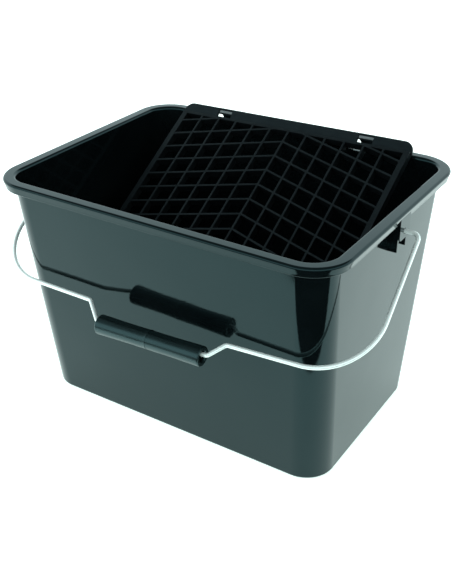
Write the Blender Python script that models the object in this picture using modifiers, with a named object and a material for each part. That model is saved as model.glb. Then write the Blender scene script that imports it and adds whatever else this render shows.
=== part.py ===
"""Wash bucket: a rectangular tub with a swinging wire bail, a tube grip and a hook-on grid.

Units are metres, +Z is up and the front faces -Y. The origin is the centre of the base,
on the floor. +X runs along the tub's long side.
"""
import math

import bmesh
import bpy
from mathutils import Matrix, Vector

OBJECT_NAME = "wash_bucket"
MM = 0.001

# Tub: outer sizes of the rim and the base, and the thickness of the moulding.
RIM_LENGTH = 345 * MM
RIM_WIDTH = 264 * MM
RIM_RADIUS = 36 * MM
RIM_OVERHANG = 10 * MM
BASE_LENGTH = 309.5 * MM
BASE_WIDTH = 195.5 * MM
BASE_RADIUS = 28 * MM
HEIGHT = 230 * MM
WALL = 2.5 * MM
SKIRT_DROP = 9 * MM
SKIRT_INSET = 1.5 * MM
LIP_INNER_RADIUS = 3 * MM
LIP_OUTER_RADIUS = 1.5 * MM
BASE_CHAMFER = 1 * MM
CORNER_STEPS = 8

# Notch: a cut in the back rim in front of each of the grid's hooks.
NOTCH_WIDTH = 36 * MM
NOTCH_BOTTOM = 224 * MM
NOTCH_FRONT = 116 * MM

# Lug: an eye plate under the middle of each short rim, on two gussets.
PIVOT_HEIGHT = 212 * MM
PIVOT_Y = 3 * MM
EYE_DIAMETER = 5.2 * MM
EYE_PLATE_INNER = 169.2 * MM
EYE_PLATE_OUTER = 172 * MM
EYE_PLATE_WIDTH = 20 * MM
EYE_PLATE_BOTTOM = 205 * MM
EYE_PLATE_TOP = 227 * MM
GUSSET_THICKNESS = 2.5 * MM
GUSSET_INNER = 160.7 * MM
GUSSET_OUTER = 169.8 * MM
GUSSET_BOTTOM = 195 * MM
GUSSET_TOP = 228.6 * MM

# Bail: one round wire, drawn in the plane that it swings in. Distances along the plane
# are measured from the pivot line.
WIRE_DIAMETER = 4 * MM
BAIL_REST_ANGLE = math.radians(57.7)
TAIL_X = 166.6 * MM
TAIL_REACH = 5.5 * MM
SHOULDER_X = 185.5 * MM
CORNER_RIGHT = (195.9 * MM, 139.9 * MM)
CORNER_LEFT = (-189.7 * MM, 148.3 * MM)
CRANK_RIGHT_START = (75.3 * MM, 147 * MM)
CRANK_RIGHT_END = (64 * MM, 161.4 * MM)
CRANK_LEFT_END = (-50 * MM, 165.4 * MM)
CRANK_LEFT_START = (-68.4 * MM, 148.8 * MM)
TAIL_BEND = 3.2 * MM
SHOULDER_BEND = 7 * MM
CORNER_BEND = 53.5 * MM
CRANK_BEND = 5 * MM
STEPS_PER_TURN = 36

# Grip: a thick tube that hangs on the wire, so its bore is off the wire's centre.
GRIP_LENGTH = 107 * MM
GRIP_X = 6.5 * MM
GRIP_DIAMETER = 18 * MM
GRIP_WAIST_DIAMETER = 17.4 * MM
GRIP_BORE = 9.4 * MM
GRIP_EDGE = 1 * MM
GRIP_HANG = 2.4 * MM
GRIP_STEPS = 32

# Grid: a flat lattice with chevron rows, sloping from the back rim to the front wall.
# SEAT is the middle of the lattice plane's top edge, and S is measured from it down the
# slope. The loose grid lies a little askew, with its right end higher.
GRID_SLOPE = math.radians(30.5)
SEAT_X = -1 * MM
SEAT_Y = 116.5 * MM
SEAT_Z = 234.6 * MM
SEAT_TILT = math.radians(1.2)
GRID_HALF_WIDTH = 128 * MM
RAIL_WIDTH = 5.5 * MM
GRID_START = 2 * MM
GRID_END = 258 * MM
TOP_RAIL = 3 * MM
BOTTOM_RAIL = 5 * MM
GRID_DEPTH = 8 * MM
GRID_CORNER = 6 * MM
RIB = 2 * MM
ROW_PITCH = 18.5 * MM
CHEVRON = math.radians(15.4)
CELLS_PER_HALF = 6
SMALLEST_CELL = 8 * MM * MM

# Flange: the plate above the lattice, leaning back over the rim, with two hook windows.
FLANGE_LEAN = math.radians(48.5)
FLANGE_FOOT_Y = 115.6 * MM
FLANGE_FOOT_Z = 230.6 * MM
FLANGE_HALF_WIDTH = 129.5 * MM
FLANGE_HEIGHT = 12 * MM
FLANGE_THICKNESS = 2.4 * MM
FLANGE_CORNER = 10 * MM
HOOK_X = 80 * MM
WINDOW_WIDTH = 16 * MM
WINDOW_BOTTOM = 1 * MM
WINDOW_TOP = 10.4 * MM

# Hook: a strap over the back rim, with a tapered tongue down behind the skirt.
STRAP_WIDTH = 30 * MM
STRAP_BOTTOM = 234.8 * MM
STRAP_TOP = 236.5 * MM
STRAP_FRONT = 121.5 * MM
STRAP_BACK = 133.5 * MM
TONGUE_HEAD = 30.4 * MM
TONGUE_FOOT = 7.2 * MM
TONGUE_TOP = 236.7 * MM
TONGUE_BOTTOM = 217 * MM
TONGUE_FRONT = 132.6 * MM
TONGUE_BACK = 134.5 * MM

MERGE = 0.00001
CUT_MARGIN = 1 * MM


def clear_scene():
    for obj in list(bpy.data.objects):
        bpy.data.objects.remove(obj, do_unlink=True)


def new_collection(name):
    collection = bpy.data.collections.new(name)
    bpy.context.scene.collection.children.link(collection)
    return collection


def principled(name, colour, roughness, metallic=0.0):
    material = bpy.data.materials.new(name)
    material.use_nodes = True
    shader = material.node_tree.nodes["Principled BSDF"]
    shader.inputs["Base Color"].default_value = (*colour, 1.0)
    shader.inputs["Roughness"].default_value = roughness
    shader.inputs["Metallic"].default_value = metallic
    material.diffuse_color = (*colour, 1.0)
    return material


def add_object(name, data, collection, material=None):
    obj = bpy.data.objects.new(name, data)
    collection.objects.link(obj)
    if material:
        data.materials.append(material)
    return obj


def as_cutter(obj):
    obj.hide_render = True
    obj.display_type = "WIRE"
    return obj


def add_boolean(obj, other, operation):
    modifier = obj.modifiers.new(f"{operation.lower()} {other.name}", "BOOLEAN")
    modifier.operation = operation
    modifier.solver = "EXACT"
    modifier.object = other


def shade_round(mesh, angle=35):
    mesh.shade_smooth()
    mesh.set_sharp_from_angle(angle=math.radians(angle))


def box(name, low, high, collection):
    """A box between two corners, made from a cube."""
    mesh = bpy.data.meshes.new(name)
    bm = bmesh.new()
    bmesh.ops.create_cube(bm, size=1.0)
    size = Vector(high) - Vector(low)
    bmesh.ops.scale(bm, vec=size, verts=bm.verts)
    bmesh.ops.translate(bm, vec=(Vector(high) + Vector(low)) / 2, verts=bm.verts)
    bm.to_mesh(mesh)
    bm.free()
    return add_object(name, mesh, collection)


def rod_along_x(name, centre, diameter, length, collection, segments=24):
    """A cylinder along X."""
    mesh = bpy.data.meshes.new(name)
    bm = bmesh.new()
    bmesh.ops.create_cone(bm, cap_ends=True, segments=segments, radius1=diameter / 2,
                          radius2=diameter / 2, depth=length)
    bmesh.ops.rotate(bm, verts=bm.verts, matrix=Matrix.Rotation(math.pi / 2, 3, "Y"))
    bmesh.ops.translate(bm, vec=Vector(centre), verts=bm.verts)
    bm.to_mesh(mesh)
    bm.free()
    return add_object(name, mesh, collection)


def curve_to_mesh_object(curve_object, collection):
    """Replace a curve object with a welded mesh object of the same name and place."""
    bpy.context.view_layer.update()
    name = curve_object.name
    evaluated = curve_object.evaluated_get(bpy.context.evaluated_depsgraph_get())
    mesh = bpy.data.meshes.new_from_object(evaluated)
    bm = bmesh.new()
    bm.from_mesh(mesh)
    bmesh.ops.remove_doubles(bm, verts=bm.verts, dist=MERGE)
    bmesh.ops.recalc_face_normals(bm, faces=bm.faces)
    bm.to_mesh(mesh)
    bm.free()
    matrix = curve_object.matrix_world.copy()
    bpy.data.objects.remove(curve_object, do_unlink=True)
    obj = add_object(name, mesh, collection)
    obj.matrix_world = matrix
    return obj


def flat_outline(name, outlines, thickness, collection):
    """A plate, or one plate for each of several outlines; an outline in another is a hole."""
    curve = bpy.data.curves.new(name, "CURVE")
    curve.dimensions = "2D"
    curve.fill_mode = "BOTH"
    curve.extrude = thickness / 2
    for outline in outlines:
        spline = curve.splines.new("POLY")
        spline.points.add(len(outline) - 1)
        for point, (x, y) in zip(spline.points, outline):
            point.co = (x, y, 0, 1)
        spline.use_cyclic_u = True
    return add_object(name, curve, collection)


# ---------------------------------------------------------------- tub

def rounded_rectangle(half_length, half_width, radius):
    """Points round a rectangle with arcs at its corners, anticlockwise from +X."""
    points = []
    for quarter, (sx, sy) in enumerate(((1, 1), (-1, 1), (-1, -1), (1, -1))):
        for step in range(CORNER_STEPS + 1):
            angle = math.pi / 2 * (quarter + step / CORNER_STEPS)
            x = sx * (half_length - radius) + radius * math.cos(angle)
            y = sy * (half_width - radius) + radius * math.sin(angle)
            points.append((x, y))
    return points


def wall_outside(z):
    """Half length, half width and corner radius of the wall's outer face at height z."""
    t = z / (HEIGHT - SKIRT_DROP)
    wall_length = RIM_LENGTH / 2 - RIM_OVERHANG
    wall_width = RIM_WIDTH / 2 - RIM_OVERHANG
    wall_radius = RIM_RADIUS - RIM_OVERHANG
    return (BASE_LENGTH / 2 + (wall_length - BASE_LENGTH / 2) * t,
            BASE_WIDTH / 2 + (wall_width - BASE_WIDTH / 2) * t,
            BASE_RADIUS + (wall_radius - BASE_RADIUS) * t)


def wall_inside(z, inset=0.0):
    half_length, half_width, radius = wall_outside(z)
    drop = WALL + inset
    return half_length - drop, half_width - drop, radius - drop


def rim_outline(inset, z):
    return RIM_LENGTH / 2 - inset, RIM_WIDTH / 2 - inset, RIM_RADIUS - inset, z


def tub_rings():
    """Rings of the tub's skin: up the inside, over the rim, down the skirt and under it,
    and down the outside to the base."""
    rings = [(*wall_inside(WALL, BASE_CHAMFER), WALL),
             (*wall_inside(WALL + BASE_CHAMFER), WALL + BASE_CHAMFER)]
    lip_start = HEIGHT - LIP_INNER_RADIUS
    for step in range(4):
        angle = math.pi / 2 * step / 3
        outward = LIP_INNER_RADIUS * (1 - math.cos(angle))
        rings.append((*wall_inside(lip_start, -outward),
                      lip_start + LIP_INNER_RADIUS * math.sin(angle)))
    for step in range(4):
        angle = math.pi / 2 * step / 3
        rings.append(rim_outline(LIP_OUTER_RADIUS * (1 - math.sin(angle)),
                                 HEIGHT - LIP_OUTER_RADIUS * (1 - math.cos(angle))))
    rings.append(rim_outline(SKIRT_INSET, HEIGHT - SKIRT_DROP))
    rings.append(rim_outline(SKIRT_INSET + WALL, HEIGHT - SKIRT_DROP))
    rings.append(rim_outline(WALL, HEIGHT - WALL))
    rings.append((*wall_outside(HEIGHT - WALL), HEIGHT - WALL))
    rings.append((*wall_outside(BASE_CHAMFER), BASE_CHAMFER))
    half_length, half_width, radius = wall_outside(0)
    rings.append((half_length - BASE_CHAMFER, half_width - BASE_CHAMFER,
                  radius - BASE_CHAMFER, 0))
    return rings


def tub_shell(collection, material):
    """The tub as one closed loft through rings of unlike size and corner radius."""
    mesh = bpy.data.meshes.new("tub")
    bm = bmesh.new()
    loops = []
    for half_length, half_width, radius, z in tub_rings():
        ring = rounded_rectangle(half_length, half_width, radius)
        loops.append([bm.verts.new((x, y, z)) for x, y in ring])
    bm.faces.new(loops[0])
    bm.faces.new(loops[-1])
    count = len(loops[0])
    for lower, upper in zip(loops, loops[1:]):
        for i in range(count):
            j = (i + 1) % count
            bm.faces.new((lower[i], upper[i], upper[j], lower[j]))
    bmesh.ops.recalc_face_normals(bm, faces=bm.faces)
    bm.to_mesh(mesh)
    bm.free()
    shade_round(mesh)
    return add_object("tub", mesh, collection, material)


def cut_notches(tub, cutters):
    for side, x in (("right", HOOK_X), ("left", -HOOK_X)):
        notch = box(f"notch_{side}", (x - NOTCH_WIDTH / 2, NOTCH_FRONT, NOTCH_BOTTOM),
                    (x + NOTCH_WIDTH / 2, RIM_WIDTH / 2 + CUT_MARGIN, HEIGHT + CUT_MARGIN),
                    cutters)
        add_boolean(tub, as_cutter(notch), "DIFFERENCE")


def add_lugs(tub, cutters):
    for side, sign in (("right", 1), ("left", -1)):
        def span(inner, outer):
            return sorted((sign * inner, sign * outer))
        x0, x1 = span(EYE_PLATE_INNER, EYE_PLATE_OUTER)
        half = EYE_PLATE_WIDTH / 2
        plate = box(f"lug_plate_{side}", (x0, PIVOT_Y - half, EYE_PLATE_BOTTOM),
                    (x1, PIVOT_Y + half, EYE_PLATE_TOP), cutters)
        add_boolean(tub, as_cutter(plate), "UNION")
        x0, x1 = span(GUSSET_INNER, GUSSET_OUTER)
        for place, y in (("front", PIVOT_Y - half),
                         ("back", PIVOT_Y + half - GUSSET_THICKNESS)):
            gusset = box(f"gusset_{place}_{side}", (x0, y, GUSSET_BOTTOM),
                         (x1, y + GUSSET_THICKNESS, GUSSET_TOP), cutters)
            add_boolean(tub, as_cutter(gusset), "UNION")
        x0, x1 = span(EYE_PLATE_INNER - WALL, EYE_PLATE_OUTER + WALL)
        eye = rod_along_x(f"eye_{side}", ((x0 + x1) / 2, PIVOT_Y, PIVOT_HEIGHT), EYE_DIAMETER,
                          x1 - x0, cutters)
        add_boolean(tub, as_cutter(eye), "DIFFERENCE")


# ---------------------------------------------------------------- bail and grip

def rounded_path(corners):
    """A path through corners given as (x, y, bend radius), with an arc at each bend."""
    points = [Vector(corners[0][:2])]
    for before, corner, after in zip(corners, corners[1:], corners[2:]):
        here = Vector(corner[:2])
        radius = corner[2]
        to_before = (Vector(before[:2]) - here).normalized()
        to_after = (Vector(after[:2]) - here).normalized()
        half_angle = to_before.angle(to_after) / 2
        centre = here + (to_before + to_after).normalized() * radius / math.sin(half_angle)
        start = here + to_before * radius / math.tan(half_angle) - centre
        turn = start.angle_signed(here + to_after * radius / math.tan(half_angle) - centre)
        steps = max(2, round(abs(turn) / (2 * math.pi) * STEPS_PER_TURN))
        for step in range(steps + 1):
            angle = -turn * step / steps
            cos, sin = math.cos(angle), math.sin(angle)
            points.append(centre + Vector((start.x * cos - start.y * sin,
                                           start.x * sin + start.y * cos)))
    points.append(Vector(corners[-1][:2]))
    return points


def bail_path():
    """The wire's centre line as (x, reach from the pivot line), right end to left end."""
    return rounded_path([(TAIL_X, TAIL_REACH),
                         (TAIL_X, 0, TAIL_BEND),
                         (SHOULDER_X, 0, SHOULDER_BEND),
                         (*CORNER_RIGHT, CORNER_BEND),
                         (*CRANK_RIGHT_START, CRANK_BEND),
                         (*CRANK_RIGHT_END, CRANK_BEND),
                         (*CRANK_LEFT_END, CRANK_BEND),
                         (*CRANK_LEFT_START, CRANK_BEND),
                         (*CORNER_LEFT, CORNER_BEND),
                         (-SHOULDER_X, 0, SHOULDER_BEND),
                         (-TAIL_X, 0, TAIL_BEND),
                         (-TAIL_X, TAIL_REACH)])


def hanging_direction():
    """The way from the pivot line to the grip, in world space."""
    return Vector((0, -math.sin(BAIL_REST_ANGLE), -math.cos(BAIL_REST_ANGLE)))


def make_bail(collection, material):
    pivot = bpy.data.objects.new("bail_pivot", None)
    pivot.location = (0, PIVOT_Y, PIVOT_HEIGHT)
    collection.objects.link(pivot)
    curve = bpy.data.curves.new("bail_wire", "CURVE")
    curve.dimensions = "3D"
    curve.bevel_depth = WIRE_DIAMETER / 2
    curve.bevel_resolution = 2
    curve.use_fill_caps = True
    down = hanging_direction()
    path = bail_path()
    spline = curve.splines.new("POLY")
    spline.points.add(len(path) - 1)
    for point, place in zip(spline.points, path):
        point.co = (*(Vector((place.x, 0, 0)) + down * place.y), 1)
    wire = add_object("bail_wire", curve, collection, material)
    wire.parent = pivot
    return pivot


def grip_line():
    """The middle of the grip's stretch of wire and its direction, seen from the pivot."""
    down = hanging_direction()
    right, left = (Vector((x, 0, 0)) + down * reach
                   for x, reach in (CRANK_RIGHT_END, CRANK_LEFT_END))
    share = (GRIP_X - left.x) / (right.x - left.x)
    return left.lerp(right, share), (right - left).normalized()


def make_grip(bail_pivot, collection, material):
    """The grip turned about its own axis, hung on an empty at the wire's centre line."""
    wire_line = bpy.data.objects.new("grip_axis", None)
    wire_line.parent = bail_pivot
    wire_line.location, direction = grip_line()
    collection.objects.link(wire_line)
    outer, waist, bore = GRIP_DIAMETER / 2, GRIP_WAIST_DIAMETER / 2, GRIP_BORE / 2
    end = GRIP_LENGTH / 2
    profile = [(bore, end - GRIP_EDGE / 2), (bore + GRIP_EDGE / 2, end),
               (outer - GRIP_EDGE, end), (outer, end - GRIP_EDGE), (waist, 0),
               (outer, GRIP_EDGE - end), (outer - GRIP_EDGE, -end),
               (bore + GRIP_EDGE / 2, -end), (bore, GRIP_EDGE / 2 - end)]
    mesh = bpy.data.meshes.new("handle_grip")
    bm = bmesh.new()
    ring = [bm.verts.new((radius, 0, z)) for radius, z in profile]
    for here, there in zip(ring, ring[1:] + ring[:1]):
        bm.edges.new((here, there))
    bm.to_mesh(mesh)
    bm.free()
    grip = add_object("handle_grip", mesh, collection, material)
    screw = grip.modifiers.new("turn", "SCREW")
    screw.axis = "Z"
    screw.steps = GRIP_STEPS
    screw.render_steps = GRIP_STEPS
    screw.use_merge_vertices = True
    screw.merge_threshold = MERGE
    screw.use_smooth_shade = True
    grip.parent = wire_line
    grip.location = (0, 0, -GRIP_HANG)
    grip.rotation_euler = direction.to_track_quat("Z", "Y").to_euler()
    return grip


# ---------------------------------------------------------------- grid

def clip(polygon, limit, keep_above):
    """Cut a polygon of (x, s) points along the line s = limit."""
    sign = 1 if keep_above else -1
    result = []
    for (x0, s0), (x1, s1) in zip(polygon, polygon[1:] + polygon[:1]):
        inside0 = sign * (s0 - limit) >= 0
        inside1 = sign * (s1 - limit) >= 0
        if inside0:
            result.append((x0, s0))
        if inside0 != inside1:
            t = (limit - s0) / (s1 - s0)
            result.append((x0 + (x1 - x0) * t, limit))
    return result


def polygon_area(polygon):
    pairs = zip(polygon, polygon[1:] + polygon[:1])
    return abs(sum(x0 * y1 - x1 * y0 for (x0, y0), (x1, y1) in pairs)) / 2


def grid_cells():
    """The lattice's holes as polygons of (x, s), for both halves."""
    inner_width = GRID_HALF_WIDTH - RAIL_WIDTH
    pitch = (inner_width + RIB / 2) / CELLS_PER_HALF
    row_half = RIB / 2 / math.cos(CHEVRON)
    first, last = GRID_START + TOP_RAIL, GRID_END - BOTTOM_RAIL
    fall = math.tan(CHEVRON)
    rows = range(-3, math.ceil(last / ROW_PITCH))
    cells = []
    for column in range(CELLS_PER_HALF):
        x0 = column * pitch + RIB / 2
        x1 = (column + 1) * pitch - RIB / 2
        for row in rows:
            top = row * ROW_PITCH + row_half
            bottom = (row + 1) * ROW_PITCH - row_half
            cell = [(x0, top + x0 * fall), (x1, top + x1 * fall),
                    (x1, bottom + x1 * fall), (x0, bottom + x0 * fall)]
            cell = clip(clip(cell, first, True), last, False)
            if len(cell) > 2 and polygon_area(cell) > SMALLEST_CELL:
                cells.append(cell)
    return cells + [[(-x, s) for x, s in cell] for cell in cells]


def panel_outline():
    """The lattice's outer edge as (x, s), with rounded lower corners."""
    w, r = GRID_HALF_WIDTH, GRID_CORNER
    edge = [(w, GRID_START)]
    for step in range(5):
        angle = math.pi / 2 * step / 4
        edge.append((w - r + r * math.cos(angle), GRID_END - r + r * math.sin(angle)))
    return edge + [(-x, s) for x, s in reversed(edge)]


def flange_outline():
    """The flange's edge as (x, height up the plate), with rounded upper corners."""
    w, r, h = FLANGE_HALF_WIDTH, FLANGE_CORNER, FLANGE_HEIGHT
    right = [(w, 0)]
    for step in range(6):
        angle = math.pi / 2 * step / 5
        right.append((w - r + r * math.cos(angle), h - r + r * math.sin(angle)))
    return right + [(-x, y) for x, y in reversed(right)]


def window_outlines():
    """The hook windows in the flange."""
    half = WINDOW_WIDTH / 2
    return [[(x - half, WINDOW_BOTTOM), (x + half, WINDOW_BOTTOM),
             (x + half, WINDOW_TOP), (x - half, WINDOW_TOP)] for x in (-HOOK_X, HOOK_X)]


def plate(name, outlines, thickness, seat, place, rotation, collection):
    """A flat plate as a mesh, placed in the seat's own coordinates."""
    curve_object = flat_outline(name, outlines, thickness, collection)
    curve_object.location = place
    curve_object.rotation_euler = (rotation, 0, 0)
    obj = curve_to_mesh_object(curve_object, collection)
    obj.parent = seat
    return obj


def in_lattice_plane(name, outlines, thickness, seat, collection):
    """Outlines in (x, s) as a mesh lying in the middle of the lattice's depth."""
    outlines = [[(x, -s) for x, s in outline] for outline in outlines]
    half = GRID_DEPTH / 2
    place = (0, half * math.sin(GRID_SLOPE), -half * math.cos(GRID_SLOPE))
    return plate(name, outlines, thickness, seat, place, GRID_SLOPE, collection)


def in_flange_plane(name, outlines, thickness, seat, collection):
    """Outlines in (x, height up the plate) as a mesh in the middle of the flange."""
    half = FLANGE_THICKNESS / 2
    place = (0, FLANGE_FOOT_Y - SEAT_Y + half * math.sin(FLANGE_LEAN),
             FLANGE_FOOT_Z - SEAT_Z - half * math.cos(FLANGE_LEAN))
    return plate(name, outlines, thickness, seat, place, FLANGE_LEAN, collection)


def hook_pieces(side, x, seat, collection):
    """A strap and a tongue, which overlap where they join."""
    half = STRAP_WIDTH / 2
    strap = box(f"strap_{side}", (x - half, STRAP_FRONT - SEAT_Y, STRAP_BOTTOM - SEAT_Z),
                (x + half, STRAP_BACK - SEAT_Y, STRAP_TOP - SEAT_Z), collection)
    strap.parent = seat
    head, foot = TONGUE_HEAD / 2, TONGUE_FOOT / 2
    outline = [(x - foot, TONGUE_BOTTOM - SEAT_Z), (x + foot, TONGUE_BOTTOM - SEAT_Z),
               (x + head, TONGUE_TOP - SEAT_Z), (x - head, TONGUE_TOP - SEAT_Z)]
    place = (0, (TONGUE_FRONT + TONGUE_BACK) / 2 - SEAT_Y, 0)
    tongue = plate(f"tongue_{side}", [outline], TONGUE_BACK - TONGUE_FRONT, seat, place,
                   math.pi / 2, collection)
    return strap, tongue


def make_grid(collection, cutters, material):
    seat = bpy.data.objects.new("grid_seat", None)
    seat.location = (SEAT_X, SEAT_Y, SEAT_Z)
    seat.rotation_euler = (0, -SEAT_TILT, 0)
    collection.objects.link(seat)
    grid = in_lattice_plane("roller_grid", [panel_outline()], GRID_DEPTH, seat, collection)
    grid.data.materials.append(material)
    flange = in_flange_plane("flange", [flange_outline()], FLANGE_THICKNESS, seat, cutters)
    add_boolean(grid, as_cutter(flange), "UNION")
    windows = in_flange_plane("windows", window_outlines(),
                              FLANGE_THICKNESS + 2 * CUT_MARGIN, seat, cutters)
    add_boolean(grid, as_cutter(windows), "DIFFERENCE")
    for side, x in (("left", -HOOK_X), ("right", HOOK_X)):
        for piece in hook_pieces(side, x, seat, cutters):
            add_boolean(grid, as_cutter(piece), "UNION")
    cells = in_lattice_plane("cells", grid_cells(), GRID_DEPTH + 2 * CUT_MARGIN, seat,
                             cutters)
    add_boolean(grid, as_cutter(cells), "DIFFERENCE")


def main():
    clear_scene()
    parts = new_collection(OBJECT_NAME)
    cutters = new_collection("cutters")
    gloss_black = principled("tub plastic", (0.012, 0.015, 0.016), 0.22)
    grid_black = principled("grid plastic", (0.013, 0.015, 0.017), 0.38)
    grip_black = principled("grip plastic", (0.015, 0.019, 0.019), 0.3)
    bright_wire = principled("galvanised wire", (0.72, 0.74, 0.73), 0.22, 1.0)
    tub = tub_shell(parts, gloss_black)
    cut_notches(tub, cutters)
    add_lugs(tub, cutters)
    bail_pivot = make_bail(parts, bright_wire)
    make_grip(bail_pivot, parts, grip_black)
    make_grid(parts, cutters, grid_black)


main()
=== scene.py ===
"""Looks of the wash bucket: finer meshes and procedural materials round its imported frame."""

import math

import bmesh
import bpy
from mathutils import Matrix, Vector


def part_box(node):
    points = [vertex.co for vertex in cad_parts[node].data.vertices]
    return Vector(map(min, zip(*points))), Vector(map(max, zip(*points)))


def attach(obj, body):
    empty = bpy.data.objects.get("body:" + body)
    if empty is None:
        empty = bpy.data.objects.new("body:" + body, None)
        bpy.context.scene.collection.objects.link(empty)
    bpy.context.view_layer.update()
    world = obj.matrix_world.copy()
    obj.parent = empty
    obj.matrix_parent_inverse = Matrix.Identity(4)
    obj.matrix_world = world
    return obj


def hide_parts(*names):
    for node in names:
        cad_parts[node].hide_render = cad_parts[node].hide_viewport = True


MM = 0.001
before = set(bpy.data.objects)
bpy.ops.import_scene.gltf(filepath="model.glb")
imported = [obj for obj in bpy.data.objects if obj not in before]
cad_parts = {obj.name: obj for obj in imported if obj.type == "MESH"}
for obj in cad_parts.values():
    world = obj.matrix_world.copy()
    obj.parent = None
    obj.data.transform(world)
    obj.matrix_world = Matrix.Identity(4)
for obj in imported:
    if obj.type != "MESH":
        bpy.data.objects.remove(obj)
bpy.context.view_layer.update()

# Tub: the overall sizes come from the frame, and the section is rounder than the CAD's.
TUB_LOW, TUB_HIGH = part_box("tub")
RIM_LENGTH = TUB_HIGH.x - TUB_LOW.x
RIM_WIDTH = TUB_HIGH.y - TUB_LOW.y
HEIGHT = TUB_HIGH.z
RIM_RADIUS = 36 * MM
RIM_OVERHANG = 10 * MM
BASE_LENGTH = 309.5 * MM
BASE_WIDTH = 195.5 * MM
BASE_RADIUS = 28 * MM
WALL = 2.5 * MM
SKIRT_DROP = 9 * MM
SKIRT_INSET = 1.5 * MM
LIP_INNER_RADIUS = 3 * MM
LIP_OUTER_RADIUS = 2.4 * MM
SKIRT_EDGE = 0.8 * MM
SKIRT_BEAD = 0.2 * MM
SKIRT_BEAD_RISE = 2.4 * MM
FLOOR_FILLET = 6 * MM
BASE_FILLET = 3 * MM
NOTCH_WIDTH = 36 * MM
NOTCH_BOTTOM = 224 * MM
NOTCH_FRONT = 116 * MM
CORNER_STEPS = 24

# Lugs under the short rims, where the bail turns.
PIVOT_HEIGHT = 212 * MM
PIVOT_Y = 3 * MM
EYE_DIAMETER = 5.2 * MM
EYE_CUTTER_X = 171 * MM
EYE_CUTTER_DEPTH = 12 * MM
LUG_OUTER = 172 * MM
LUG_THICKNESS = 2.8 * MM
LUG_HALF_WIDTH = 10 * MM
LUG_BOTTOM = 205 * MM
LUG_TOP = 227 * MM
LUG_CORNER = 4 * MM
LUG_EDGE = 0.35 * MM
GUSSET_THICKNESS = 2.5 * MM
GUSSET_STEP = 0.02 * MM
GUSSET_INNER = 160.7 * MM
GUSSET_OUTER = 170.4 * MM
GUSSET_BOTTOM = 195 * MM
GUSSET_TOP = 226.8 * MM

# Bail and grip.
WIRE_DIAMETER = 4 * MM
WIRE_SLACK = 0.03 * MM
WIRE_END = ((0.7 * MM, 0.55), (0.45 * MM, 0.85), (0.0, 1.0))
BAIL_REST_ANGLE = math.radians(57.7)
TAIL_X = 166.6 * MM
TAIL_REACH = 5.5 * MM
SHOULDER_X = 185.5 * MM
CORNER_RIGHT = (195.7 * MM, 139.9 * MM)
CORNER_LEFT = (-189.7 * MM, 148.3 * MM)
CRANK_RIGHT_START = (75.3 * MM, 147 * MM)
CRANK_RIGHT_END = (64 * MM, 161.4 * MM)
CRANK_LEFT_END = (-50 * MM, 165.4 * MM)
CRANK_LEFT_START = (-68.4 * MM, 148.8 * MM)
TAIL_BEND = 3.2 * MM
SHOULDER_BEND = 7 * MM
CORNER_BEND = 53.5 * MM
CRANK_BEND = 5 * MM
WIRE_SIDES = 20
PATH_STEP = 3 * MM
STEPS_PER_TURN = 96
GRIP_LENGTH = 107 * MM
GRIP_X = 6.5 * MM
GRIP_RADIUS = 9 * MM
GRIP_BORE = 4.7 * MM
GRIP_HANG = 2.4 * MM
GRIP_SIDES = 64
GRIP_WAIST = 0.42 * MM
GRIP_EDGE = 1.2 * MM

# Grid: lattice plane, flange plane and hooks, in the seat's own coordinates.
GRID_SLOPE = math.radians(30.5)
SEAT_X = -1 * MM
SEAT_Y = 116.5 * MM
SEAT_Z = 234.6 * MM
SEAT_TILT = math.radians(1.2)
GRID_HALF_WIDTH = 128 * MM
RAIL_WIDTH = 5.5 * MM
GRID_START = 2 * MM
GRID_END = 258 * MM
TOP_RAIL = 3 * MM
BOTTOM_RAIL = 5 * MM
GRID_DEPTH = 8 * MM
GRID_CORNER = 6 * MM
RIB = 2 * MM
ROW_PITCH = 18.5 * MM
CHEVRON = math.radians(15.4)
CELLS_PER_HALF = 6
SMALLEST_CELL = 8 * MM * MM
FLANGE_LEAN = math.radians(48.5)
FLANGE_FOOT_Y = 115.6 * MM
FLANGE_FOOT_Z = 230.6 * MM
FLANGE_HALF_WIDTH = 129.5 * MM
FLANGE_HEIGHT = 12 * MM
FLANGE_THICKNESS = 2.4 * MM
FLANGE_CORNER = 10 * MM
HOOK_X = 80 * MM
WINDOW_WIDTH = 16 * MM
WINDOW_BOTTOM = 1 * MM
WINDOW_TOP = 10.4 * MM
STRAP_WIDTH = 30 * MM
STRAP_BOTTOM = 233.6 * MM
STRAP_TOP = 235.3 * MM
STRAP_FRONT = 121.5 * MM
STRAP_BACK = 133.5 * MM
TONGUE_HEAD = 30.4 * MM
TONGUE_FOOT = 7.2 * MM
TONGUE_TOP = 235.5 * MM
TONGUE_BOTTOM = 217 * MM
TONGUE_FRONT = 132.6 * MM
TONGUE_BACK = 134.5 * MM

# Studio.
CAMERA_PLACE = (0.4171, -0.6522, 0.5440)
CAMERA_LENS = 56.27
CAMERA_AZIMUTH = math.radians(32.789)
CAMERA_ELEVATION = math.radians(29.707)
CAMERA_ROLL = math.radians(-0.193)
TABLE_EDGE = 0.282
TABLE_REACH = 4.0
FLOOR_SIZE = 12
SKY_BRIGHT = 1.27
SKY_DARK = 0.18

SCENE = bpy.context.scene


# ---------------------------------------------------------------- mesh helpers

def link(name, mesh, material=None):
    obj = bpy.data.objects.new(name, mesh)
    SCENE.collection.objects.link(obj)
    if material:
        mesh.materials.append(material)
    return obj


def from_bmesh(name, bm, material=None):
    mesh = bpy.data.meshes.new(name)
    bmesh.ops.recalc_face_normals(bm, faces=bm.faces)
    bm.to_mesh(mesh)
    bm.free()
    return link(name, mesh, material)


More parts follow.
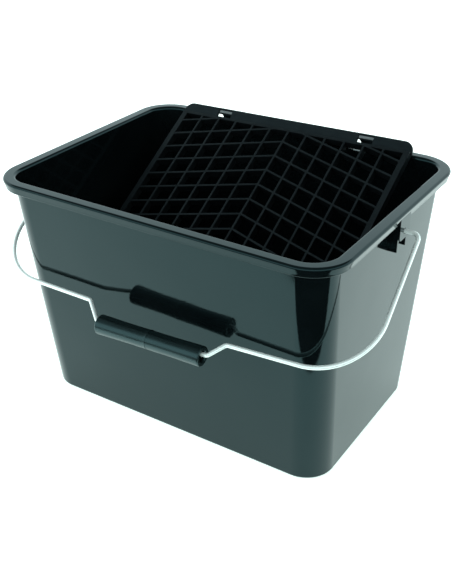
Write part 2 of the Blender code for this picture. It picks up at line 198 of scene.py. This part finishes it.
def apply_modifiers(obj):
    """Replace an object's mesh by its evaluated one."""
    bpy.context.view_layer.update()
    graph = bpy.context.evaluated_depsgraph_get()
    mesh = bpy.data.meshes.new_from_object(obj.evaluated_get(graph))
    obj.modifiers.clear()
    old = obj.data
    obj.data = mesh
    mesh.name = old.name
    bpy.data.meshes.remove(old)


def combine(obj, other, operation):
    """A boolean with another object, which is used up."""
    modifier = obj.modifiers.new(operation, "BOOLEAN")
    modifier.operation = operation
    modifier.solver = "EXACT"
    modifier.object = other
    apply_modifiers(obj)
    bpy.data.objects.remove(other, do_unlink=True)


def bevel(obj, width, segments=3, angle=30):
    modifier = obj.modifiers.new("bevel", "BEVEL")
    modifier.width = width
    modifier.segments = segments
    modifier.limit_method = "ANGLE"
    modifier.angle_limit = math.radians(angle)
    modifier.use_clamp_overlap = True
    apply_modifiers(obj)


def smooth(obj, angle=40):
    obj.data.shade_smooth()
    obj.data.set_sharp_from_angle(angle=math.radians(angle))
    modifier = obj.modifiers.new("normals", "WEIGHTED_NORMAL")
    modifier.keep_sharp = True
    apply_modifiers(obj)


def box(name, low, high):
    bm = bmesh.new()
    bmesh.ops.create_cube(bm, size=1.0)
    bmesh.ops.scale(bm, vec=Vector(high) - Vector(low), verts=bm.verts)
    bmesh.ops.translate(bm, vec=(Vector(high) + Vector(low)) / 2, verts=bm.verts)
    return from_bmesh(name, bm)


def prism(name, outline, thickness, place):
    """A plate with a convex outline of (a, b) points. place maps (a, b, depth) to a point."""
    bm = bmesh.new()
    front = [bm.verts.new(place(a, b, 0)) for a, b in outline]
    back = [bm.verts.new(place(a, b, -thickness)) for a, b in outline]
    bm.faces.new(front)
    bm.faces.new(back[::-1])
    count = len(outline)
    for i in range(count):
        j = (i + 1) % count
        bm.faces.new((front[i], back[i], back[j], front[j]))
    return from_bmesh(name, bm)


def arc(centre_a, centre_b, radius, start, end, steps):
    """Points on an arc, with angles in degrees."""
    points = []
    for step in range(steps + 1):
        angle = math.radians(start + (end - start) * step / steps)
        points.append((centre_a + radius * math.cos(angle), centre_b + radius * math.sin(angle)))
    return points


def loft(name, loops, material):
    """Skin rings of points, and cap both ends."""
    bm = bmesh.new()
    rings = [[bm.verts.new(point) for point in loop] for loop in loops]
    bm.faces.new(rings[0])
    bm.faces.new(rings[-1])
    count = len(rings[0])
    for lower, upper in zip(rings, rings[1:]):
        for i in range(count):
            j = (i + 1) % count
            bm.faces.new((lower[i], upper[i], upper[j], lower[j]))
    return from_bmesh(name, bm, material)


# ---------------------------------------------------------------- tub

def rounded_rectangle(half_length, half_width, radius, z):
    points = []
    for quarter, (sx, sy) in enumerate(((1, 1), (-1, 1), (-1, -1), (1, -1))):
        corner = arc(sx * (half_length - radius), sy * (half_width - radius), radius,
                     90 * quarter, 90 * quarter + 90, CORNER_STEPS)
        points += [(x, y, z) for x, y in corner]
    return points


def wall_outside(z):
    """Half length, half width and corner radius of the wall's outer face at height z."""
    t = z / (HEIGHT - SKIRT_DROP)
    wall_length = RIM_LENGTH / 2 - RIM_OVERHANG
    wall_width = RIM_WIDTH / 2 - RIM_OVERHANG
    wall_radius = RIM_RADIUS - RIM_OVERHANG
    return (BASE_LENGTH / 2 + (wall_length - BASE_LENGTH / 2) * t,
            BASE_WIDTH / 2 + (wall_width - BASE_WIDTH / 2) * t,
            BASE_RADIUS + (wall_radius - BASE_RADIUS) * t)


def wall_ring(z, inset):
    half_length, half_width, radius = wall_outside(z)
    return half_length - inset, half_width - inset, radius - inset, z


def rim_ring(inset, z):
    return RIM_LENGTH / 2 - inset, RIM_WIDTH / 2 - inset, RIM_RADIUS - inset, z


def tub_rings():
    """The tub's skin from the middle of its floor, over the rim and down to its base."""
    rings = []
    for inset, z in arc(FLOOR_FILLET, FLOOR_FILLET, FLOOR_FILLET, -90, -180, 6):
        rings.append(wall_ring(z + WALL, inset + WALL))
    lip_start = HEIGHT - LIP_INNER_RADIUS
    for inset, z in arc(-LIP_INNER_RADIUS, 0, LIP_INNER_RADIUS, 0, 90, 8):
        half_length, half_width, radius, _ = wall_ring(lip_start, WALL + inset)
        rings.append((half_length, half_width, radius, lip_start + z))
    for inset, z in arc(LIP_OUTER_RADIUS, -LIP_OUTER_RADIUS, LIP_OUTER_RADIUS, 90, 180, 6):
        rings.append(rim_ring(inset, HEIGHT + z))
    skirt_end = HEIGHT - SKIRT_DROP
    middle = SKIRT_INSET + WALL / 2
    rings.append(rim_ring(SKIRT_INSET - SKIRT_BEAD, skirt_end + SKIRT_BEAD_RISE))
    for inset, z in arc(middle, SKIRT_EDGE, WALL / 2, 180, 270, 4):
        rings.append(rim_ring(inset, skirt_end + z * 0.8 + SKIRT_BEAD))
    rings.append(rim_ring(SKIRT_INSET + WALL, skirt_end + SKIRT_EDGE))
    rings.append(rim_ring(WALL, HEIGHT - WALL))
    rings.append(wall_ring(HEIGHT - WALL, 0))
    for inset, z in arc(BASE_FILLET, BASE_FILLET, BASE_FILLET, 180, 270, 6):
        rings.append(wall_ring(z, inset))
    return rings


def make_tub(material):
    tub = loft("tub_shell", [rounded_rectangle(*ring) for ring in tub_rings()], material)
    for x in (-HOOK_X, HOOK_X):
        notch = box("notch", (x - NOTCH_WIDTH / 2, NOTCH_FRONT, NOTCH_BOTTOM),
                    (x + NOTCH_WIDTH / 2, RIM_WIDTH / 2 + MM, HEIGHT + MM))
        combine(tub, notch, "DIFFERENCE")
    smooth(tub, 32)
    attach(tub, "tub")
    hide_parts("tub")


def make_lug(side, sign, material):
    """An eye plate under the rim, standing off the wall on two gussets."""
    def place(a, b, depth):
        return Vector((sign * (LUG_OUTER + depth), PIVOT_Y + a, b))
    half, corner = LUG_HALF_WIDTH, LUG_CORNER
    outline = arc(half - corner, LUG_BOTTOM + corner, corner, -90, 0, 6)
    outline += [(half, LUG_TOP), (-half, LUG_TOP)]
    outline += arc(corner - half, LUG_BOTTOM + corner, corner, 180, 270, 6)
    plate = prism(f"lug_{side}", outline, LUG_THICKNESS, place)
    x0, x1 = sorted((sign * GUSSET_INNER, sign * GUSSET_OUTER))
    for y in (PIVOT_Y - half + GUSSET_STEP,
              PIVOT_Y + half - GUSSET_STEP - GUSSET_THICKNESS):
        gusset = box("gusset", (x0, y, GUSSET_BOTTOM), (x1, y + GUSSET_THICKNESS, GUSSET_TOP))
        combine(plate, gusset, "UNION")
    bm = bmesh.new()
    bmesh.ops.create_cone(bm, cap_ends=True, segments=32, radius1=EYE_DIAMETER / 2,
                          radius2=EYE_DIAMETER / 2, depth=EYE_CUTTER_DEPTH)
    turn = Matrix.Translation((sign * EYE_CUTTER_X, PIVOT_Y, PIVOT_HEIGHT))
    bmesh.ops.transform(bm, matrix=turn @ Matrix.Rotation(math.pi / 2, 4, "Y"), verts=bm.verts)
    combine(plate, from_bmesh("eye", bm), "DIFFERENCE")
    bevel(plate, LUG_EDGE, 2, 40)
    plate.data.materials.append(material)
    smooth(plate)
    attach(plate, "tub")


# ---------------------------------------------------------------- bail and grip

def rounded_path(corners):
    """A path through corners given as (x, y, bend radius), with an arc at each bend."""
    points = [Vector(corners[0][:2])]
    for before, corner, after in zip(corners, corners[1:], corners[2:]):
        here = Vector(corner[:2])
        radius = corner[2]
        to_before = (Vector(before[:2]) - here).normalized()
        to_after = (Vector(after[:2]) - here).normalized()
        half_angle = to_before.angle(to_after) / 2
        centre = here + (to_before + to_after).normalized() * radius / math.sin(half_angle)
        start = here + to_before * radius / math.tan(half_angle) - centre
        turn = start.angle_signed(here + to_after * radius / math.tan(half_angle) - centre)
        steps = max(4, round(abs(turn) / (2 * math.pi) * STEPS_PER_TURN))
        for step in range(steps + 1):
            angle = -turn * step / steps
            cos, sin = math.cos(angle), math.sin(angle)
            points.append(centre + Vector((start.x * cos - start.y * sin,
                                           start.x * sin + start.y * cos)))
    points.append(Vector(corners[-1][:2]))
    return points


def bail_path():
    return rounded_path([(TAIL_X, TAIL_REACH),
                         (TAIL_X, 0, TAIL_BEND),
                         (SHOULDER_X, 0, SHOULDER_BEND),
                         (*CORNER_RIGHT, CORNER_BEND),
                         (*CRANK_RIGHT_START, CRANK_BEND),
                         (*CRANK_RIGHT_END, CRANK_BEND),
                         (*CRANK_LEFT_END, CRANK_BEND),
                         (*CRANK_LEFT_START, CRANK_BEND),
                         (*CORNER_LEFT, CORNER_BEND),
                         (-SHOULDER_X, 0, SHOULDER_BEND),
                         (-TAIL_X, 0, TAIL_BEND),
                         (-TAIL_X, TAIL_REACH)])


def hanging_direction():
    return Vector((0, -math.sin(BAIL_REST_ANGLE), -math.cos(BAIL_REST_ANGLE)))


def make_bail(material):
    """The wire as a tube swept along its path, with rounded ends."""
    down = hanging_direction()
    across = Vector((1, 0, 0)).cross(down)
    pivot = Vector((0, PIVOT_Y, PIVOT_HEIGHT))
    flat = bail_path()
    path = [flat[0]]
    for here, there in zip(flat, flat[1:]):
        pieces = max(1, math.ceil((there - here).length / PATH_STEP))
        path += [here.lerp(there, piece / pieces) for piece in range(1, pieces + 1)]
    turns = [2 * math.pi * k / WIRE_SIDES for k in range(WIRE_SIDES)]
    radius = WIRE_DIAMETER / 2 - WIRE_SLACK
    loops = []
    last = len(path) - 1
    for index, point in enumerate(path):
        tangent = (path[min(index + 1, last)] - path[max(index - 1, 0)]).normalized()
        side = Vector((tangent.y, 0, 0)) - down * tangent.x
        forward = Vector((tangent.x, 0, 0)) + down * tangent.y
        centre = pivot + Vector((point.x, 0, 0)) + down * point.y
        rings = [(0.0, 1.0)]
        if index == 0:
            rings = [(WIRE_END[0][0] - push, size) for push, size in WIRE_END]
        if index == last:
            rings = [(push - WIRE_END[0][0], size) for push, size in WIRE_END[::-1]]
        for shift, size in rings:
            middle = centre + forward * shift
            loops.append([middle + (side * math.cos(a) + across * math.sin(a)) * radius * size
                          for a in turns])
    wire = loft("bail_rod", loops, material)
    smooth(wire, 60)
    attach(wire, "bail")
    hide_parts("bail_wire")


def grip_profile():
    """(radius, distance along the tube) round the tube's wall, with a step at mid-length."""
    end, edge = GRIP_LENGTH / 2, GRIP_EDGE
    profile = [(GRIP_BORE, -end + edge)]
    profile += [(GRIP_BORE, -end + edge + (2 * end - 2 * edge) * k / 8) for k in range(1, 9)]
    profile += arc(GRIP_BORE + edge, end - edge, edge, 180, 90, 4)[1:]
    profile += arc(GRIP_RADIUS - edge, end - edge, edge, 90, 0, 5)
    half = []
    for step in range(1, 12):
        t = step / 12
        fall = GRIP_WAIST * math.sin(math.pi / 2 * min(1, t * 1.6)) ** 2
        half.append((GRIP_RADIUS - fall, (1 - t) * (end - edge)))
    profile += half
    profile += [(GRIP_RADIUS - GRIP_WAIST, 0.25 * MM), (GRIP_RADIUS - 0.1 * MM, 0.1 * MM),
                (GRIP_RADIUS - 0.08 * MM, -0.5 * MM), (GRIP_RADIUS - 0.3 * MM, -1.1 * MM)]
    profile += [(r, -z) for r, z in reversed(half)]
    profile += arc(GRIP_RADIUS - edge, edge - end, edge, 0, -90, 5)
    profile += arc(GRIP_BORE + edge, edge - end, edge, -90, -180, 4)[:-1]
    return profile


def make_grip(material):
    """The tube turned about its own axis, which lies a little below the wire."""
    down = hanging_direction()
    right, left = (Vector((x, PIVOT_Y, PIVOT_HEIGHT)) + down * reach
                   for x, reach in (CRANK_RIGHT_END, CRANK_LEFT_END))
    centre = left.lerp(right, (GRIP_X - left.x) / (right.x - left.x))
    centre -= Vector((0, 0, GRIP_HANG))
    along = (right - left).normalized()
    side = along.cross(Vector((0, 0, 1))).normalized()
    up = side.cross(along)
    profile = grip_profile()
    bm = bmesh.new()
    rings = []
    for k in range(GRIP_SIDES):
        a = 2 * math.pi * k / GRIP_SIDES
        out = side * math.cos(a) + up * math.sin(a)
        rings.append([bm.verts.new(centre + along * z + out * r) for r, z in profile])
    for here, there in zip(rings, rings[1:] + rings[:1]):
        for i in range(len(profile)):
            j = (i + 1) % len(profile)
            bm.faces.new((here[i], there[i], there[j], here[j]))
    grip = from_bmesh("grip_tube", bm, material)
    smooth(grip, 60)
    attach(grip, "grip")
    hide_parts("handle_grip")


# ---------------------------------------------------------------- grid

SEAT = (Matrix.Translation((SEAT_X, SEAT_Y, SEAT_Z)) @ Matrix.Rotation(-SEAT_TILT, 4, "Y"))


def lattice_point(x, s, n=0.0):
    """A point s down the slope and n above the lattice plane."""
    cos, sin = math.cos(GRID_SLOPE), math.sin(GRID_SLOPE)
    return SEAT @ Vector((x, -s * cos - n * sin, -s * sin + n * cos))


def flange_point(x, height, depth=0.0):
    cos, sin = math.cos(FLANGE_LEAN), math.sin(FLANGE_LEAN)
    y = FLANGE_FOOT_Y - SEAT_Y + height * cos - depth * sin
    z = FLANGE_FOOT_Z - SEAT_Z + height * sin + depth * cos
    return SEAT @ Vector((x, y, z))


def bisect(bm, point, normal, clear=True):
    geometry = bm.verts[:] + bm.edges[:] + bm.faces[:]
    bmesh.ops.bisect_plane(bm, geom=geometry, dist=1e-7, plane_co=point, plane_no=normal,
                           clear_outer=clear)


def make_lattice(material):
    """The lattice drawn flat in (x, -s) with shared corners, then given its depth."""
    inner = GRID_HALF_WIDTH - RAIL_WIDTH
    pitch = (inner + RIB / 2) / CELLS_PER_HALF
    fall = math.tan(CHEVRON)
    row_half = RIB / 2 / math.cos(CHEVRON)
    columns = [0.0]
    for k in range(CELLS_PER_HALF):
        columns += [k * pitch + RIB / 2, (k + 1) * pitch - RIB / 2]
    columns.append(GRID_HALF_WIDTH)
    columns = [-x for x in reversed(columns[1:])] + columns
    rows = []
    for r in range(-3, 16):
        rows += [r * ROW_PITCH - row_half, r * ROW_PITCH + row_half]
    bm = bmesh.new()
    grid = [[bm.verts.new((x, -(v + abs(x) * fall), 0)) for x in columns] for v in rows]
    for upper, lower in zip(grid, grid[1:]):
        for i in range(len(columns) - 1):
            bm.faces.new((upper[i], upper[i + 1], lower[i + 1], lower[i]))
    first, last = GRID_START + TOP_RAIL, GRID_END - BOTTOM_RAIL
    bisect(bm, (0, -GRID_START, 0), (0, 1, 0))
    bisect(bm, (0, -GRID_END, 0), (0, -1, 0))
    bisect(bm, (0, -first, 0), (0, 1, 0), False)
    bisect(bm, (0, -last, 0), (0, -1, 0), False)
    for sign in (-1, 1):
        for step in range(1, 8):
            a = math.radians(90 * step / 8)
            normal = Vector((sign * math.cos(a), -math.sin(a), 0))
            centre = Vector((sign * (GRID_HALF_WIDTH - GRID_CORNER),
                             GRID_CORNER - GRID_END, 0))
            bisect(bm, centre + normal * GRID_CORNER, normal)
    holes = []
    for face in bm.faces:
        middle = face.calc_center_median()
        x, s = abs(middle.x), -middle.y
        v = s - x * fall
        in_column = x < inner and RIB / 2 < x % pitch < pitch - RIB / 2
        in_row = row_half < v % ROW_PITCH < ROW_PITCH - row_half
        if in_column and in_row and first < s < last and face.calc_area() > SMALLEST_CELL:
            holes.append(face)
    bmesh.ops.delete(bm, geom=holes, context="FACES")
    top = bm.faces[:]
    lower = bmesh.ops.extrude_face_region(bm, geom=top)["geom"]
    down = [v for v in lower if isinstance(v, bmesh.types.BMVert)]
    bmesh.ops.translate(bm, vec=(0, 0, -GRID_DEPTH), verts=down)
    for vert in bm.verts:
        vert.co = lattice_point(vert.co.x, -vert.co.y, vert.co.z)
    lattice = from_bmesh("grid_lattice", bm, material)
    bevel(lattice, 0.4 * MM, 2, 40)
    smooth(lattice)
    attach(lattice, "grid")
    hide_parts("roller_grid")


def make_flange(material):
    w, r, h = FLANGE_HALF_WIDTH, FLANGE_CORNER, FLANGE_HEIGHT
    outline = [(-w, 0), (w, 0)]
    outline += arc(w - r, h - r, r, 0, 90, 12)
    outline += arc(r - w, h - r, r, 90, 180, 12)
    flange = prism("grid_flange", outline, FLANGE_THICKNESS, flange_point)
    for x in (-HOOK_X, HOOK_X):
        half = WINDOW_WIDTH / 2
        window = [(x - half, WINDOW_BOTTOM), (x + half, WINDOW_BOTTOM),
                  (x + half, WINDOW_TOP), (x - half, WINDOW_TOP)]

        def through(a, b, depth):
            return flange_point(a, b, depth + MM)
        combine(flange, prism("window", window, FLANGE_THICKNESS + 2 * MM, through),
                "DIFFERENCE")

        def strap_point(a, b, depth):
            return SEAT @ Vector((a, b - SEAT_Y, STRAP_TOP - SEAT_Z + depth))
        half = STRAP_WIDTH / 2
        strap = [(x - half, STRAP_FRONT), (x + half, STRAP_FRONT),
                 (x + half, STRAP_BACK), (x - half, STRAP_BACK)]
        combine(flange, prism("strap", strap, STRAP_TOP - STRAP_BOTTOM, strap_point), "UNION")

        def tongue_point(a, b, depth):
            return SEAT @ Vector((a, TONGUE_FRONT - SEAT_Y - depth, b - SEAT_Z))
        head, foot = TONGUE_HEAD / 2, TONGUE_FOOT / 2
        tongue = [(x - foot, TONGUE_BOTTOM), (x + foot, TONGUE_BOTTOM),
                  (x + head, TONGUE_TOP), (x - head, TONGUE_TOP)]
        combine(flange, prism("tongue", tongue, TONGUE_BACK - TONGUE_FRONT, tongue_point),
                "UNION")
    flange.data.materials.clear()
    flange.data.materials.append(material)
    bevel(flange, 0.3 * MM, 2, 35)
    smooth(flange)
    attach(flange, "grid")


# ---------------------------------------------------------------- materials

class Nodes:
    """A short way to build a node tree."""

    def __init__(self, name):
        self.material = bpy.data.materials.new(name)
        self.material.use_nodes = True
        self.tree = self.material.node_tree
        self.shader = self.tree.nodes["Principled BSDF"]
        coordinates = self.tree.nodes.new("ShaderNodeTexCoord")
        self.place = coordinates.outputs["Object"]

    def add(self, kind, inputs=None, **settings):
        node = self.tree.nodes.new(kind)
        for key, value in settings.items():
            setattr(node, key, value)
        for key, value in (inputs or {}).items():
            self.feed(node.inputs[key], value)
        return node

    def feed(self, socket, value):
        if isinstance(value, bpy.types.NodeSocket):
            self.tree.links.new(value, socket)
        else:
            socket.default_value = value

    def stretched(self, scale):
        node = self.add("ShaderNodeMapping", {"Vector": self.place, "Scale": scale})
        return node.outputs["Vector"]

    def noise(self, scale, detail=3.0, roughness=0.5, place=None):
        node = self.add("ShaderNodeTexNoise", {"Vector": place or self.place, "Scale": scale,
                                               "Detail": detail, "Roughness": roughness})
        return node.outputs["Fac"]

    def span(self, value, low, high, to_low, to_high):
        node = self.add("ShaderNodeMapRange", {"Value": value, "From Min": low,
                                               "From Max": high, "To Min": to_low,
                                               "To Max": to_high})
        return node.outputs["Result"]

    def blend(self, factor, first, second):
        node = self.add("ShaderNodeMix", {"Factor": factor}, data_type="RGBA")
        self.feed(node.inputs["A"], first)
        self.feed(node.inputs["B"], second)
        return node.outputs["Result"]

    def bump(self, height, strength, distance, under=None):
        node = self.add("ShaderNodeBump", {"Height": height, "Strength": strength,
                                           "Distance": distance})
        if under:
            self.feed(node.inputs["Normal"], under)
        return node.outputs["Normal"]

    def set(self, **values):
        for key, value in values.items():
            self.feed(self.shader.inputs[key.replace("_", " ").title()], value)


def rgba(red, green, blue):
    return (red, green, blue, 1.0)


def tub_plastic():
    """Black polypropylene with a wavy gloss, faint flow marks, dust and rubbed patches."""
    n = Nodes("tub_plastic")
    cloud = n.noise(14, 4, 0.55)
    colour = n.blend(n.span(cloud, 0.35, 0.7, 0, 1), rgba(0.0012, 0.0022, 0.0025),
                     rgba(0.0022, 0.0036, 0.004))
    rubbed = n.noise(60, 5, 0.65, n.stretched((1, 1, 0.25)))
    roughness = n.span(rubbed, 0.3, 0.75, 0.035, 0.075)
    wave = n.bump(n.noise(9, 2, 0.4), 0.2, 0.004)
    grain = n.bump(n.noise(900, 2), 0.04, 0.0004, wave)
    n.set(base_color=colour, roughness=roughness, normal=grain)
    n.shader.inputs["IOR"].default_value = 1.42
    n.shader.inputs["Specular Tint"].default_value = rgba(0.5, 0.94, 1.0)
    return n.material


def grid_plastic():
    """The grid's black plastic: a little duller, with a fine spark-eroded grain."""
    n = Nodes("grid_plastic")
    cloud = n.noise(40, 4, 0.6)
    colour = n.blend(n.span(cloud, 0.35, 0.7, 0, 1), rgba(0.002, 0.0026, 0.003),
                     rgba(0.0035, 0.0045, 0.005))
    roughness = n.span(n.noise(120, 4, 0.6), 0.3, 0.7, 0.3, 0.44)
    grain = n.bump(n.noise(2600, 3, 0.6), 0.22, 0.0003)
    n.set(base_color=colour, roughness=roughness, normal=grain)
    n.shader.inputs["IOR"].default_value = 1.46
    n.shader.inputs["Specular Tint"].default_value = rgba(0.65, 0.9, 1.0)
    return n.material


def grip_plastic():
    """The grip's softer black plastic, with fine lines along the tube."""
    n = Nodes("grip_plastic")
    lines = n.noise(260, 4, 0.6, n.stretched((0.06, 1, 1)))
    colour = n.blend(n.span(lines, 0.35, 0.7, 0, 1), rgba(0.0015, 0.003, 0.003),
                     rgba(0.003, 0.005, 0.005))
    roughness = n.span(lines, 0.3, 0.7, 0.24, 0.34)
    grain = n.bump(lines, 0.12, 0.0004)
    n.set(base_color=colour, roughness=roughness, normal=grain)
    n.shader.inputs["IOR"].default_value = 1.68
    n.shader.inputs["Specular Tint"].default_value = rgba(0.55, 0.95, 1.0)
    return n.material


def wire_metal():
    """Bright galvanised wire with drawing marks and a faint spangle."""
    n = Nodes("wire_metal")
    spangle = n.add("ShaderNodeTexVoronoi", {"Vector": n.place, "Scale": 260.0})
    tone = n.span(spangle.outputs["Distance"], 0, 0.9, 0, 1)
    colour = n.blend(tone, rgba(0.86, 0.93, 0.9), rgba(0.88, 0.95, 0.92))
    marks = n.noise(700, 4, 0.6, n.stretched((0.12, 1, 1)))
    roughness = n.span(marks, 0.3, 0.7, 0.24, 0.28)
    grain = n.bump(marks, 0.02, 0.0003)
    n.set(base_color=colour, roughness=roughness, normal=grain)
    n.shader.inputs["Metallic"].default_value = 0.55
    return n.material


# ---------------------------------------------------------------- studio

def floor_material():
    n = Nodes("studio_floor")
    tone = n.span(n.noise(3, 3), 0.3, 0.7, 0, 1)
    n.set(base_color=n.blend(tone, rgba(0.86, 0.88, 0.88), rgba(0.89, 0.9, 0.9)),
          roughness=n.span(n.noise(30, 3), 0.3, 0.7, 0.55, 0.65))
    n.shader.inputs["Emission Color"].default_value = rgba(0.8, 1.0, 0.93)
    n.shader.inputs["Emission Strength"].default_value = 0.75
    return n.material


def card_material():
    n = Nodes("studio_card")
    tone = n.span(n.noise(6, 3), 0.3, 0.7, 0, 1)
    n.set(base_color=n.blend(tone, rgba(0.004, 0.005, 0.006), rgba(0.008, 0.009, 0.01)),
          roughness=n.span(n.noise(20, 3), 0.3, 0.7, 0.8, 0.9))
    n.shader.inputs["Specular IOR Level"].default_value = 0.0
    return n.material


def make_floor():
    bm = bmesh.new()
    bmesh.ops.create_grid(bm, x_segments=2, y_segments=2, size=FLOOR_SIZE)
    from_bmesh("studio_floor", bm, floor_material())


def make_dark_table():
    """What lies past the table's edge, seen only as a reflection in the tub's front corner."""
    ahead = Vector((math.sin(CAMERA_AZIMUTH), -math.cos(CAMERA_AZIMUTH), 0))
    aside = Vector((-ahead.y, ahead.x, 0))
    near, far, half = TABLE_EDGE, TABLE_REACH, TABLE_REACH
    bm = bmesh.new()
    corners = [ahead * near - aside * half, ahead * near + aside * half,
               ahead * far + aside * half, ahead * far - aside * half]
    bm.faces.new([bm.verts.new(corner + Vector((0, 0, 0.002))) for corner in corners])
    card = from_bmesh("studio_card", bm, card_material())
    card.visible_camera = False
    card.visible_diffuse = False
    card.visible_shadow = False


def make_world():
    """A bright band round the horizon, and a dark ceiling from 35 to 41 degrees upwards."""
    world = bpy.data.worlds.new("studio")
    SCENE.world = world
    world.use_nodes = True
    nodes, links = world.node_tree.nodes, world.node_tree.links
    place = nodes.new("ShaderNodeTexCoord")
    split = nodes.new("ShaderNodeSeparateXYZ")
    fade = nodes.new("ShaderNodeMapRange")
    fade.inputs["From Min"].default_value = 0.56
    fade.inputs["From Max"].default_value = 0.66
    fade.inputs["To Min"].default_value = SKY_BRIGHT
    fade.inputs["To Max"].default_value = SKY_DARK
    links.new(place.outputs["Generated"], split.inputs["Vector"])
    links.new(split.outputs["Z"], fade.inputs["Value"])
    background = nodes["Background"]
    background.inputs["Color"].default_value = rgba(0.8, 0.98, 1.0)
    links.new(fade.outputs["Result"], background.inputs["Strength"])


def add_lamp(kind, name, place, energy, spread, colour):
    data = bpy.data.lights.new(name, kind)
    data.color = colour
    data.energy = energy
    if kind == "SUN":
        data.angle = spread
    else:
        data.size = spread
    lamp = bpy.data.objects.new(name, data)
    lamp.location = place
    aim = Vector((0, 0, 0.1)) - Vector(place)
    lamp.rotation_euler = aim.to_track_quat("-Z", "Y").to_euler()
    lamp.visible_glossy = False
    SCENE.collection.objects.link(lamp)


def make_studio():
    """A glowing white floor, and two soft lamps that don't show in the gloss."""
    make_floor()
    make_dark_table()
    make_world()
    add_lamp("SUN", "sky", (-0.3, -0.3, 2), 1.9, math.radians(160), (0.97, 1.0, 1.0))
    add_lamp("AREA", "left", (-1.2, -1.4, 1.0), 11, 1.2, (0.8, 0.95, 1.0))


def make_camera():
    data = bpy.data.cameras.new("camera")
    data.sensor_width = 36.0
    data.lens = CAMERA_LENS
    camera = bpy.data.objects.new("camera", data)
    level = math.cos(CAMERA_ELEVATION)
    back = Vector((math.sin(CAMERA_AZIMUTH) * level, -math.cos(CAMERA_AZIMUTH) * level,
                   math.sin(CAMERA_ELEVATION)))
    turn = (-back).to_track_quat("-Z", "Y").to_matrix() @ Matrix.Rotation(CAMERA_ROLL, 3, "Z")
    camera.matrix_world = Matrix.Translation(CAMERA_PLACE) @ turn.to_4x4()
    SCENE.collection.objects.link(camera)
    SCENE.camera = camera


def main():
    SCENE.view_settings.view_transform = "Standard"
    tub_black = tub_plastic()
    grid_black = grid_plastic()
    make_tub(tub_black)
    make_lug("right", 1, tub_black)
    make_lug("left", -1, tub_black)
    make_bail(wire_metal())
    make_grip(grip_plastic())
    make_lattice(grid_black)
    make_flange(grid_black)
    make_studio()
    make_camera()


main()
